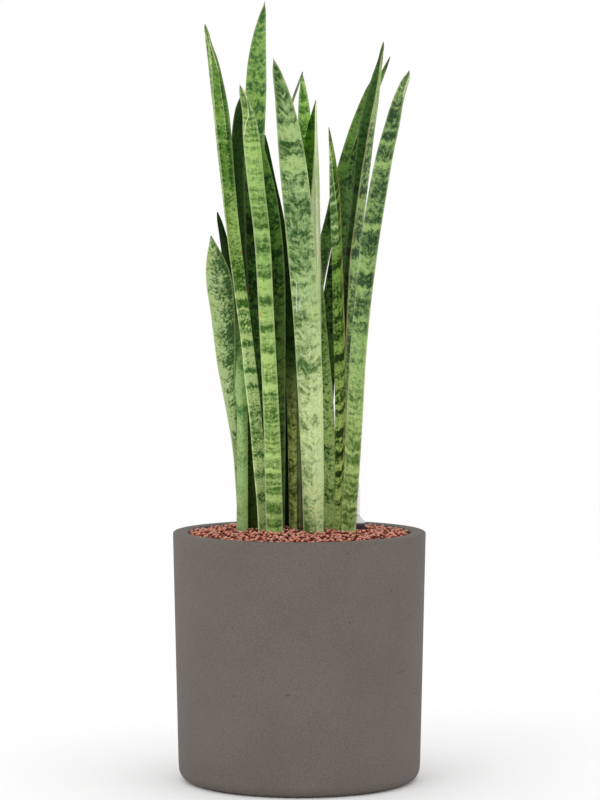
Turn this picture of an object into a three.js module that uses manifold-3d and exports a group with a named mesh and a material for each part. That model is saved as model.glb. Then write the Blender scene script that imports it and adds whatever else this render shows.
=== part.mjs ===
// A ceylon bowstring hemp in a round concrete planter, grown in clay granules.
//
// Millimetres, +Z up. The origin is the middle of the planter's flat underside, and -Y is the front.
// Inside the planter stands a slotted culture pot with the rootstock, and beside the plant a water
// gauge whose float rises in a clear tube. Granules fill the planter up to its rim.

import * as THREE from "three";
import { mergeVertices } from "three/addons/utils/BufferGeometryUtils.js";
import Module from "manifold-3d";

const wasm = await Module();
wasm.setup();

// Planter
const PLANTER_HEIGHT = 295;
const PLANTER_TOP_RADIUS = 150;
const PLANTER_FOOT_RADIUS = 143.5;
const PLANTER_WALL = 18;
const PLANTER_FLOOR = 20;
const RIM_ROUNDING = 2.5;
const FOOT_ROUNDING = 15;
const INNER_ROUNDING = 8;

// Culture pot, standing on a layer of granules
const POT_BASE = 72;
const POT_TOP = 262;
const POT_TOP_RADIUS = 110;
const POT_FOOT_RADIUS = 97;
const POT_WALL = 2.2;
const POT_SLOTS = 12;
const SLOT_WIDTH = 4;
const SLOT_HEIGHT = 46;

// Granules
const GAP = 0.3;
const GRANULE_EDGE_LEVEL = 289.5;
const GRANULE_MOUND = 5;
const GRANULE_PITCH = 13;
const GRANULE_RELIEF = 3.8;

// Leaves and rootstock
const LEAF_FOOT = POT_TOP + GAP;
const LEAF_RINGS = 15;
const RING_CROWDING = 1.35;
const LEAF_MARGIN = 1.2;
const LEAF_FOOT_THICKNESS = 5.6;
const LEAF_TIP_THICKNESS = 2.2;
const CROWN_DEPTH = 20;
const RUNNER_RADIUS = 7;
const ROOT_RADIUS = 2.4;
const ROOT_LENGTH = 120;

// Water gauge
const GAUGE_AT = [67.5, 30];
const SLEEVE_RADIUS = 11.6;
const SLEEVE_BORE = 9.4;
const SLEEVE_TOP = 300.3;
const WINDOW_SHOULDER = 302.8;
const WINDOW_NECK = 310;
const WINDOW_TOP = 352;
const TUBE_RADIUS = 5;
const TUBE_BORE = 3.6;
const FLOAT_RADIUS = 8;
const FLOAT_HEIGHT = 46;
const STICK_RADIUS = 1.6;
const STICK_TOP = 313;

const ROUND = 56;

// Each leaf: the line it follows from its foot, its widths at even steps from the foot to the tip's start,
// the length and sharpness of its tip, how far its channel is turned from the front (degrees, foot and tip),
// and how deep the channel is against half the width.
const LEAVES = {
  leaf_left_tall: {
    path: [[-45, -12, LEAF_FOOT], [-49, -14, 409.2], [-65.3, -18, 548.2], [-82.5, -26, 687.7],
      [-90.2, -34, 783.8], [-110.1, -46, 889.9]],
    widths: [15, 18, 22, 23, 22, 22.5, 24.5], tip: [115, 0.72], turn: [70, 76], fold: 0.8,
  },
  leaf_back_tallest: {
    path: [[-44, 32, LEAF_FOOT], [-48, 38, 479.9], [-54.7, 54, 740.4], [-52.9, 60, 800.9],
      [-49.4, 68, 872.7], [-41.2, 78, 926.8]],
    widths: [15, 20, 24, 25, 24.5], tip: [115, 0.8], turn: [0, 8], fold: 0.35,
  },
  leaf_front_left: {
    path: [[-28.6, -30, LEAF_FOOT], [-32, -31, 410.1], [-38.4, -34, 548.1], [-43.5, -38, 645],
      [-50.3, -42, 704.7], [-55.3, -46, 754.3], [-59.5, -50, 788.8], [-70.6, -55, 820.3]],
    widths: [20, 19, 17.5, 17.5, 19.5, 20.5], tip: [80, 0.8], turn: [176, 190], fold: 0.3,
  },
  leaf_left_rear: {
    path: [[-55, 16, LEAF_FOOT], [-58.5, 18, 399.9], [-70.2, 25, 599.9], [-73.9, 30, 735.4],
      [-70.4, 34, 809]],
    widths: [13.5, 13.5, 13.5, 13.5, 13], tip: [50, 0.6], turn: [10, 16], fold: 0.5,
  },
  leaf_left_slim: {
    path: [[-68, -9, LEAF_FOOT], [-67.3, -8, 400], [-68, -4, 450], [-75.5, 5, 540], [-88.6, 14, 635],
      [-97.3, 20, 673.1]],
    widths: [13.5, 12.5, 12.2, 12.2, 12], tip: [90, 0.5], turn: [172, 180], fold: 0.3,
  },
  leaf_left_short: {
    path: [[-66, 8, LEAF_FOOT], [-73.5, 6, 392], [-84.5, -1, 470], [-90, -8, 548], [-95.8, -16, 600.1],
      [-103.6, -24, 645]],
    widths: [10, 11, 11.5, 14, 25, 31, 33], tip: [60, 1], turn: [28, 6, 14], fold: 0.28,
  },
  leaf_middle_left: {
    path: [[-26, 4, LEAF_FOOT], [-26, 6, 449.9], [-27.5, 10, 616], [-36.1, 14, 690.1], [-50.2, 20, 768.5]],
    widths: [16, 18, 18.5, 18.5, 18], tip: [90, 0.62], turn: [8, 14], fold: 0.45,
  },
  leaf_middle_slim: {
    path: [[-4.6, 8, LEAF_FOOT], [-8.5, 13, 449.9], [-16.5, 20, 579.9], [-23.4, 26, 655.1],
      [-35.2, 32, 715.4], [-40.7, 36, 764.7]],
    widths: [13.5, 14, 14, 14, 13], tip: [80, 0.7], turn: [10, 30], fold: 0.5,
  },
  leaf_back_middle: {
    path: [[-14, 27, LEAF_FOOT], [-14, 33, 449.7], [-16.1, 40, 625]],
    widths: [13, 15, 15, 14], tip: [90, 0.7], turn: [4, 10], fold: 0.4,
  },
  leaf_front_wide: {
    path: [[16.8, -36, LEAF_FOOT], [15.4, -36, 385], [8.5, -40, 546.1], [-5, -50, 704.7],
      [-17.2, -58, 796], [-30, -66, 850.1]],
    widths: [22.5, 25, 29, 30.5, 32.5, 32.5, 32.5], tip: [160, 0.66], turn: [184, 176], fold: 0.26,
  },
  leaf_middle_folded: {
    path: [[18, -4, LEAF_FOOT], [19.5, -4, 450.1], [18.5, -6, 600], [16.8, -9, 699.9], [16.2, -12, 759.7],
      [19.1, -15, 803.4]],
    widths: [18, 22, 27, 31, 31], tip: [90, 0.9], turn: [-62, -60], fold: 0.8,
  },
  leaf_middle_right: {
    path: [[35.8, 2, LEAF_FOOT], [33.5, 5, 421.9], [24, 12, 532.9], [12, 24, 687.2], [6, 32, 790.8],
      [3.3, 36, 837.2]],
    widths: [13, 17, 18, 18, 17, 16], tip: [72, 0.75], turn: [-10, -14], fold: 0.35,
  },
  leaf_middle_edge: {
    path: [[1, -8, LEAF_FOOT], [-2.5, -9, 546], [-13.5, -14, 722], [-12, -20, 784.7], [4, -26, 836.2]],
    widths: [11, 12, 12, 10, 8], tip: [60, 0.6], turn: [80, 88], fold: 0.3,
  },
  leaf_right_slim: {
    path: [[45.6, -7, LEAF_FOOT], [49.5, -8, 400.1], [47.8, -12, 520.1], [43.5, -18, 650],
      [39.3, -24, 734.6], [34.4, -28, 771.3]],
    widths: [10, 14, 16.5, 16.5, 16, 15.5], tip: [110, 0.85], turn: [-55, -42], fold: 0.7,
  },
  leaf_right_rear: {
    path: [[8, 27, LEAF_FOOT], [13, 42, 479.4], [33.2, 56, 630], [54.8, 70, 729.8], [87, 84, 834.2]],
    widths: [13, 16, 18, 18, 18], tip: [170, 0.9], turn: [-20, -30], fold: 0.45,
  },
  leaf_right_folded: {
    path: [[51, 15, LEAF_FOOT], [53.5, 13, 480], [60.3, 8, 593], [71.3, 5, 687], [82, 5, 781], [98.5, 5, 873]],
    widths: [14, 19, 27, 31, 33, 33], tip: [130, 1.02], turn: [-82, -82, -80, -60], fold: 0.8,
  },
  leaf_right_leaning: {
    path: [[31, 26, LEAF_FOOT], [32.5, 29, 470], [39.5, 32, 571], [50.1, 35, 640], [67.1, 39, 735.1],
      [90.9, 46, 816.7], [107.7, 50, 858.2]],
    widths: [11, 15, 23, 26, 21, 14], tip: [70, 0.7], turn: [-20, -20, -30, -60, -74], fold: 0.35,
  },
  leaf_right_outer: {
    path: [[57.6, -24, LEAF_FOOT], [64, -22, 409], [71.4, -24, 540.2], [88.1, -30, 669.8],
      [105.2, -38, 761.1], [128.3, -48, 836.9]],
    widths: [19, 21, 22, 22.5, 22.5, 22.5], tip: [165, 0.45], turn: [-30, -24], fold: 0.32,
  },
};

// Shoots: the crowns that the leaves grow from, as x, y and radius, in the order in which the runner joins them
const CROWNS = [[-64, 0, 15], [-45, 24, 15], [-34, -16, 16], [2, -12, 20], [18, 20, 17], [44, -2, 15], [58, -12, 13]];

function toSolid(geometry) {
  const bare = geometry.clone();
  bare.deleteAttribute("normal");
  bare.deleteAttribute("uv");
  const merged = mergeVertices(bare, 1e-4);
  const triangles = [];
  for (let i = 0; i < merged.index.count; i += 3) {
    const [a, b, c] = merged.index.array.slice(i, i + 3);
    if (a !== b && b !== c && c !== a) {
      triangles.push(a, b, c);
    }
  }
  const mesh = new wasm.Mesh({
    numProp: 3,
    vertProperties: new Float32Array(merged.attributes.position.array),
    triVerts: new Uint32Array(triangles),
  });
  return new wasm.Manifold(mesh).asOriginal();
}

function toGeometry(solid) {
  const mesh = solid.getMesh();
  const geometry = new THREE.BufferGeometry();
  geometry.setAttribute("position", new THREE.BufferAttribute(new Float32Array(mesh.vertProperties), 3));
  geometry.setIndex(new THREE.BufferAttribute(new Uint32Array(mesh.triVerts), 1));
  geometry.computeVertexNormals();
  return geometry;
}

// A turned solid about the Z axis from a profile of [radius, height] points, going up the outside
function turned(profile, segments = ROUND) {
  const points = profile.map(([radius, height]) => new THREE.Vector2(radius, height));
  const geometry = new THREE.LatheGeometry(points, segments);
  geometry.rotateX(Math.PI / 2);
  return geometry;
}

// Points on a quarter or other arc of a profile, angles in degrees
function arc(centreRadius, centreHeight, radius, from, to, steps) {
  const points = [];
  for (let i = 0; i <= steps; i += 1) {
    const angle = THREE.MathUtils.degToRad(from + ((to - from) * i) / steps);
    points.push([centreRadius + radius * Math.cos(angle), centreHeight + radius * Math.sin(angle)]);
  }
  return points;
}

function outerRadius(height) {
  return THREE.MathUtils.lerp(PLANTER_FOOT_RADIUS, PLANTER_TOP_RADIUS, height / PLANTER_HEIGHT);
}

function innerRadius(height) {
  return outerRadius(height) - PLANTER_WALL;
}

function planterGeometry() {
  const top = PLANTER_HEIGHT - RIM_ROUNDING;
  return turned([
    [0, 0],
    ...arc(outerRadius(FOOT_ROUNDING) - FOOT_ROUNDING, FOOT_ROUNDING, FOOT_ROUNDING, -90, 0, 4),
    ...arc(outerRadius(top) - RIM_ROUNDING, top, RIM_ROUNDING, 0, 90, 2),
    ...arc(innerRadius(top) + RIM_ROUNDING, top, RIM_ROUNDING, 90, 180, 2),
    ...arc(innerRadius(PLANTER_FLOOR) - INNER_ROUNDING, PLANTER_FLOOR + INNER_ROUNDING, INNER_ROUNDING, 0, -90, 2),
    [0, PLANTER_FLOOR],
  ]);
}

function potRadius(height) {
  return THREE.MathUtils.lerp(POT_FOOT_RADIUS, POT_TOP_RADIUS, (height - POT_BASE) / (POT_TOP - POT_BASE));
}

// The culture pot: a thin tapered tub with upright water slots round its lower wall
function culturePotGeometry() {
  let pot = toSolid(turned([
    [0, POT_BASE],
    [POT_FOOT_RADIUS, POT_BASE],
    [POT_TOP_RADIUS, POT_TOP],
    [POT_TOP_RADIUS - POT_WALL, POT_TOP],
    [POT_FOOT_RADIUS - POT_WALL, POT_BASE + POT_WALL],
    [0, POT_BASE + POT_WALL],
  ], 48));
  for (let i = 0; i < POT_SLOTS; i += 1) {
    const slot = new THREE.BoxGeometry(30, SLOT_WIDTH, SLOT_HEIGHT);
    slot.translate(POT_FOOT_RADIUS, 0, POT_BASE + 12 + SLOT_HEIGHT / 2);
    slot.rotateZ((2 * Math.PI * (i + 0.5)) / POT_SLOTS);
    pot = pot.subtract(toSolid(slot));
  }
  return toGeometry(pot);
}

// Granules below and around the culture pot
function lowerGranulesGeometry() {
  return turned([
    [0, PLANTER_FLOOR + GAP],
    [innerRadius(PLANTER_FLOOR) - INNER_ROUNDING, PLANTER_FLOOR + GAP],
    [innerRadius(PLANTER_FLOOR + INNER_ROUNDING) - GAP - 0.2, PLANTER_FLOOR + INNER_ROUNDING],
    [innerRadius(POT_TOP) - GAP, POT_TOP],
    [POT_TOP_RADIUS + GAP, POT_TOP],
    [POT_FOOT_RADIUS + GAP, POT_BASE - GAP],
    [0, POT_BASE - GAP],
  ], 48);
}

// A leaf's cross-section runs level. Its five stations across are doubled into the two faces.
const STATIONS = [-1, -0.5, 0, 0.5, 1];

// A value read off a list of values given at even steps
function along(list, share) {
  const at = Math.min(share, 1 - 1e-6) * (list.length - 1);
  const i = Math.floor(at);
  return THREE.MathUtils.lerp(list[i], list[i + 1], at - i);
}

function leafWidth(leaf, share, tipDistance) {
  const width = along(leaf.widths, share);
  const [tipLength, sharpness] = leaf.tip;
  return width * Math.sin((Math.PI / 2) * Math.min(1, tipDistance / tipLength)) ** sharpness;
}

function leafGeometry(leaf, grow = 0) {
  const curve = new THREE.CatmullRomCurve3(leaf.path.map((p) => new THREE.Vector3(...p)), false, "centripetal");
  const tip = curve.getPoint(1);
  const positions = [];
  for (let ring = 0; ring <= LEAF_RINGS; ring += 1) {
    const middle = curve.getPointAt(1 - (1 - ring / LEAF_RINGS) ** RING_CROWDING);
    const height = ring === 0 ? middle.z - grow * 4 : middle.z;
    const share = (middle.z - LEAF_FOOT) / (tip.z - LEAF_FOOT);
    const width = Math.max(leafWidth(leaf, share, tip.z - middle.z), 1.2) + 2 * grow;
    const thickness = THREE.MathUtils.lerp(LEAF_FOOT_THICKNESS, LEAF_TIP_THICKNESS, share);
    const turn = THREE.MathUtils.degToRad(along(leaf.turn, share));
    const depth = (leaf.fold * width) / 2;
    for (const face of [1, -1]) {
      for (const station of face > 0 ? STATIONS : [...STATIONS].reverse()) {
        const body = LEAF_MARGIN + (Math.min(thickness, width * 0.6) - LEAF_MARGIN) * (1 - station ** 2);
        const forward = depth * (Math.abs(station) ** 1.5 - 0.5) + face * (Math.max(body, 0.8) / 2 + grow);
        const across = (station * width) / 2;
        positions.push(
          middle.x + across * Math.cos(turn) + forward * Math.sin(turn),
          middle.y + across * Math.sin(turn) - forward * Math.cos(turn),
          height,
        );
      }
    }
  }
  const around = 2 * STATIONS.length;
  const faces = [];
  for (let ring = 0; ring < LEAF_RINGS; ring += 1) {
    for (let k = 0; k < around; k += 1) {
      const a = ring * around + k;
      const b = ring * around + ((k + 1) % around);
      faces.push(a, b, a + around, b, b + around, a + around);
    }
  }
  // Both ends are closed by strips between the two faces
  for (const [start, flip] of [[0, true], [LEAF_RINGS * around, false]]) {
    for (let k = 0; k < STATIONS.length - 1; k += 1) {
      const quad = [start + k, start + k + 1, start + around - 2 - k, start + around - 1 - k];
      const [p, q, r, s] = flip ? quad.reverse() : quad;
      faces.push(p, q, r, p, r, s);
    }
  }
  const geometry = new THREE.BufferGeometry();
  geometry.setAttribute("position", new THREE.Float32BufferAttribute(positions, 3));
  geometry.setIndex(faces);
  geometry.computeVertexNormals();
  return geometry;
}

// A seeded draw, so that every run gives the same granules and roots
function seeded(seed) {
  let state = seed;
  return () => {
    state = (state * 1664525 + 1013904223) % 4294967296;
    return state / 4294967296;
  };
}

// A rod between two points, with its own radius at each end
function rod(from, to, startRadius, endRadius, sides = 8) {
  const start = new THREE.Vector3(...from);
  const axis = new THREE.Vector3(...to).sub(start);
  const geometry = new THREE.CylinderGeometry(endRadius, startRadius, axis.length(), sides);
  geometry.translate(0, axis.length() / 2, 0);
  geometry.applyQuaternion(new THREE.Quaternion().setFromUnitVectors(new THREE.Vector3(0, 1, 0), axis.normalize()));
  geometry.translate(start.x, start.y, start.z);
  return geometry;
}

// The rootstock: a crown under each shoot, a runner from crown to crown, and roots going down
function rootstock(grow = 0) {
  const random = seeded(7);
  let body = null;
  const add = (geometry) => {
    body = body ? body.add(toSolid(geometry)) : toSolid(geometry);
  };
  CROWNS.forEach(([x, y, radius], i) => {
    add(rod([x, y, POT_TOP - CROWN_DEPTH - grow], [x, y, POT_TOP + grow * 2], radius * 0.7 + grow, radius + grow, 10));
    if (i > 0) {
      const [px, py] = CROWNS[i - 1];
      const level = POT_TOP - CROWN_DEPTH / 2 - 2;
      add(rod([px, py, level], [x, y, level], RUNNER_RADIUS + grow, RUNNER_RADIUS + grow, 8));
    }
    for (let k = 0; k < 2; k += 1) {
      const heading = 2 * Math.PI * random();
      const reach = 8 + 10 * random();
      const length = ROOT_LENGTH * (0.7 + 0.3 * random());
      const foot = [x + reach * Math.cos(heading), y + reach * Math.sin(heading), POT_TOP - CROWN_DEPTH - length];
      add(rod([x, y, POT_TOP - CROWN_DEPTH + 4], foot, ROOT_RADIUS + grow, ROOT_RADIUS * 0.5 + grow, 5));
    }
  });
  return body;
}

function gaugeHole(grow, from, to) {
  const hole = rod([GAUGE_AT[0], GAUGE_AT[1], from], [GAUGE_AT[0], GAUGE_AT[1], to],
    SLEEVE_RADIUS + grow, SLEEVE_RADIUS + grow, 24);
  return toSolid(hole);
}

// Granules inside the culture pot, with room for the rootstock and the gauge
function innerGranulesGeometry() {
  const floor = POT_BASE + POT_WALL + GAP;
  const fill = toSolid(turned([
    [0, floor],
    [potRadius(floor) - POT_WALL - GAP, floor],
    [potRadius(POT_TOP) - POT_WALL - GAP, POT_TOP],
    [0, POT_TOP],
  ], 48));
  return toGeometry(fill.subtract(rootstock(GAP)).subtract(gaugeHole(GAP, POT_BASE, POT_TOP + 5)));
}

// The visible layer of granules: each granule is a low peak in a cell with six valley corners
function topGranulesGeometry() {
  const random = seeded(11);
  const rows = Math.ceil(PLANTER_TOP_RADIUS / (GRANULE_PITCH * 0.866)) + 1;
  const bottom = POT_TOP + GAP;
  const level = (x, y) => {
    const share = Math.min(1, Math.hypot(x, y) / innerRadius(PLANTER_HEIGHT));
    return GRANULE_EDGE_LEVEL + GRANULE_MOUND * (1 - share ** 2);
  };
  const peaks = new Map();
  for (let j = -rows; j <= rows; j += 1) {
    for (let i = -rows; i <= rows; i += 1) {
      const jitter = GRANULE_PITCH * 0.28;
      const x = GRANULE_PITCH * (i + 0.5 * (Math.abs(j) % 2)) + jitter * (random() - 0.5);
      const y = GRANULE_PITCH * 0.866 * j + jitter * (random() - 0.5);
      peaks.set(`${i},${j}`, [x, y, level(x, y) + GRANULE_RELIEF * (0.75 + 0.5 * random())]);
    }
  }
  const positions = [];
  const indexOf = new Map();
  const vertex = (key, point) => {
    if (!indexOf.has(key)) {
      indexOf.set(key, positions.length / 3);
      positions.push(...point);
    }
    return indexOf.get(key);
  };
  const valley = (keys) => {
    const points = keys.map((key) => peaks.get(key));
    const x = (points[0][0] + points[1][0] + points[2][0]) / 3;
    const y = (points[0][1] + points[1][1] + points[2][1]) / 3;
    return vertex([...keys].sort().join(";"), [x, y, level(x, y)]);
  };
  const faces = [];
  for (let j = 1 - rows; j < rows; j += 1) {
    const shift = Math.abs(j) % 2;
    for (let i = 1 - rows; i < rows; i += 1) {
      const ring = [[i + 1, j], [i + shift, j + 1], [i + shift - 1, j + 1],
        [i - 1, j], [i + shift - 1, j - 1], [i + shift, j - 1]].map(([a, b]) => `${a},${b}`);
      const own = `${i},${j}`;
      const peak = vertex(own, peaks.get(own));
      for (let k = 0; k < 6; k += 1) {
        const [here, next, after] = [ring[k], ring[(k + 1) % 6], ring[(k + 2) % 6]];
        faces.push([peak, valley([own, here, next]), valley([own, next, after])]);
      }
    }
  }
  let bed = toSolid(blockUnder(positions, faces, bottom - 5));
  bed = bed.intersect(toSolid(turned([
    [0, bottom],
    [innerRadius(bottom) - GAP, bottom],
    [innerRadius(PLANTER_HEIGHT + 10) - GAP, PLANTER_HEIGHT + 10],
    [0, PLANTER_HEIGHT + 10],
  ])));
  for (const leaf of Object.values(LEAVES)) {
    bed = bed.subtract(toSolid(leafGeometry(leaf, GAP)));
  }
  return toGeometry(bed.subtract(gaugeHole(GAP, bottom - 5, PLANTER_HEIGHT + 20)));
}

// Closes an open sheet of faces into a block that goes down to a level bottom
function blockUnder(positions, faces, bottom) {
  const count = positions.length / 3;
  const all = [...positions];
  for (let v = 0; v < count; v += 1) {
    all.push(positions[3 * v], positions[3 * v + 1], bottom);
  }
  const edges = new Set(faces.flatMap(([a, b, c]) => [`${a},${b}`, `${b},${c}`, `${c},${a}`]));
  const index = [];
  for (const [a, b, c] of faces) {
    index.push(a, b, c, c + count, b + count, a + count);
    for (const [p, q] of [[a, b], [b, c], [c, a]]) {
      if (!edges.has(`${q},${p}`)) {
        index.push(p, p + count, q, q, p + count, q + count);
      }
    }
  }
  const geometry = new THREE.BufferGeometry();
  geometry.setAttribute("position", new THREE.Float32BufferAttribute(all, 3));
  geometry.setIndex(index);
  return geometry;
}

// Water gauge: a dark sleeve standing on the culture pot's floor, open at the top, with slots for the water
function sleeveGeometry() {
  const foot = POT_BASE + POT_WALL + GAP;
  let sleeve = toSolid(turned([
    [0, foot],
    [SLEEVE_RADIUS, foot],
    [SLEEVE_RADIUS, SLEEVE_TOP],
    [SLEEVE_BORE, SLEEVE_TOP],
    [SLEEVE_BORE, foot + 2],
    [0, foot + 2],
  ], 24));
  for (let i = 0; i < 4; i += 1) {
    const slot = new THREE.BoxGeometry(2 * SLEEVE_RADIUS, 3, 30);
    slot.translate(SLEEVE_RADIUS, 0, foot + 25);
    slot.rotateZ((Math.PI / 2) * (i + 0.5));
    sleeve = sleeve.subtract(toSolid(slot));
  }
  return toGeometry(sleeve);
}

// The clear window: a collar on the sleeve, a shoulder and a narrow tube with a round closed top
function windowGeometry() {
  const crown = WINDOW_TOP - TUBE_RADIUS;
  return turned([
    [SLEEVE_BORE, SLEEVE_TOP + GAP],
    [SLEEVE_RADIUS, SLEEVE_TOP + GAP],
    [SLEEVE_RADIUS, WINDOW_SHOULDER],
    [TUBE_RADIUS, WINDOW_NECK],
    ...arc(0, crown, TUBE_RADIUS, 0, 90, 3),
    ...arc(0, crown, TUBE_BORE, 90, 0, 3),
    [TUBE_BORE, WINDOW_NECK - 1.4],
    [SLEEVE_BORE, WINDOW_SHOULDER - 0.6],
    [SLEEVE_BORE, SLEEVE_TOP + GAP],
  ], 24);
}

// The float: a foam body that the water lifts, and a thin stick with the mark that shows in the tube
function floatGeometry() {
  const foot = POT_BASE + POT_WALL + GAP + 2 + GAP;
  return turned([
    [0, foot],
    [FLOAT_RADIUS, foot],
    [FLOAT_RADIUS, foot + FLOAT_HEIGHT],
    [STICK_RADIUS, foot + FLOAT_HEIGHT + 3],
    [STICK_RADIUS, STICK_TOP - 6],
    [STICK_RADIUS + 0.8, STICK_TOP - 5],
    [STICK_RADIUS + 0.8, STICK_TOP - 1],
    [STICK_RADIUS, STICK_TOP],
    [0, STICK_TOP],
  ], 16);
}

const object = new THREE.Group();

function place(name, geometry, color, roughness, position = [0, 0, 0]) {
  const material = new THREE.MeshStandardMaterial({ color, roughness, metalness: 0 });
  const mesh = new THREE.Mesh(geometry, material);
  mesh.name = name;
  mesh.position.set(...position);
  object.add(mesh);
}

place("planter", planterGeometry(), 0x6f6762, 0.85);
place("culture_pot", culturePotGeometry(), 0x2a2a2c, 0.5);
place("granules_lower", lowerGranulesGeometry(), 0x8a4f3c, 0.95);
place("granules_inner", innerGranulesGeometry(), 0x8a4f3c, 0.95);
place("granules_top", topGranulesGeometry(), 0xa15d47, 0.95);
place("rootstock", toGeometry(rootstock()), 0xc9a46a, 0.8);
for (const [name, leaf] of Object.entries(LEAVES)) {
  place(name, leafGeometry(leaf), 0x6f9a52, 0.45);
}
place("gauge_sleeve", sleeveGeometry(), 0x3a3036, 0.4, [...GAUGE_AT, 0]);
place("gauge_window", windowGeometry(), 0xe6e4ea, 0.1, [...GAUGE_AT, 0]);
place("gauge_float", floatGeometry(), 0xd8452c, 0.5, [...GAUGE_AT, 0]);

export default object;
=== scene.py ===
import math
from functools import partialmethod

import bmesh
import bpy
import numpy as np
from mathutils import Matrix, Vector


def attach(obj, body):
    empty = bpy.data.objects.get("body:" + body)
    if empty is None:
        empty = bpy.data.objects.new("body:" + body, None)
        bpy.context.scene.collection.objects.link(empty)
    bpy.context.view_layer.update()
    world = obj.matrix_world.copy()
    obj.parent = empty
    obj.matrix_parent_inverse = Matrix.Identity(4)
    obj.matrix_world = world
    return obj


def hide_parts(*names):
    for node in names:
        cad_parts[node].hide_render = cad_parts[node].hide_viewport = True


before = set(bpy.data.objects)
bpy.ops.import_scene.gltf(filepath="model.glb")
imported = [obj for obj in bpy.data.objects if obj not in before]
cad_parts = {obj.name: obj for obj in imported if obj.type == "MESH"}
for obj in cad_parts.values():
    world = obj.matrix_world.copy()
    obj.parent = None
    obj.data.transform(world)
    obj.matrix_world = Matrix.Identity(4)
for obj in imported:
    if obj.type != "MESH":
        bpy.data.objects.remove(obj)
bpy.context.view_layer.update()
scene = bpy.context.scene
MM = 0.001

# ---- camera and light
CAMERA_PLACE = (0.00077, -3.607, 0.636)
CAMERA_DIP = 2.94
CAMERA_SENSOR = 24
CAMERA_LENS = 91.53
LIGHT_SIZE = 1.6
LIGHT_TARGET = (0, 0, 0.5)

camera_data = bpy.data.cameras.new("camera")
camera_data.sensor_fit = "VERTICAL"
camera_data.sensor_height = CAMERA_SENSOR
camera_data.lens = CAMERA_LENS
camera_data.clip_end = 50
camera = bpy.data.objects.new("camera", camera_data)
camera.location = CAMERA_PLACE
camera.rotation_euler = (math.radians(90 - CAMERA_DIP), 0, 0)
scene.collection.objects.link(camera)
scene.camera = camera

scene.view_settings.view_transform = "Standard"
scene.view_settings.look = "None"
world = bpy.data.worlds.new("studio")
world.use_nodes = True
backdrop = world.node_tree.nodes["Background"].inputs
backdrop["Color"].default_value = (1, 1, 1, 1)
backdrop["Strength"].default_value = 1.0
scene.world = world


def soft_light(name, location, power):
    data = bpy.data.lights.new(name, "AREA")
    data.size = LIGHT_SIZE
    data.energy = power
    light = bpy.data.objects.new(name, data)
    light.location = location
    light.rotation_euler = (Vector(LIGHT_TARGET) - Vector(location)).to_track_quat("-Z", "Y").to_euler()
    scene.collection.objects.link(light)


soft_light("key", (-1.7, -2.2, 2.1), 12)
soft_light("fill", (2.2, -1.8, 1.3), 3)


# ---- node trees
def srgb(*screen):
    """A colour given as screen values 0 to 255, as the linear colour that a shader takes."""
    shares = [value / 255 for value in screen]
    return (*(s / 12.92 if s <= 0.04045 else ((s + 0.055) / 1.055) ** 2.4 for s in shares), 1.0)


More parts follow.
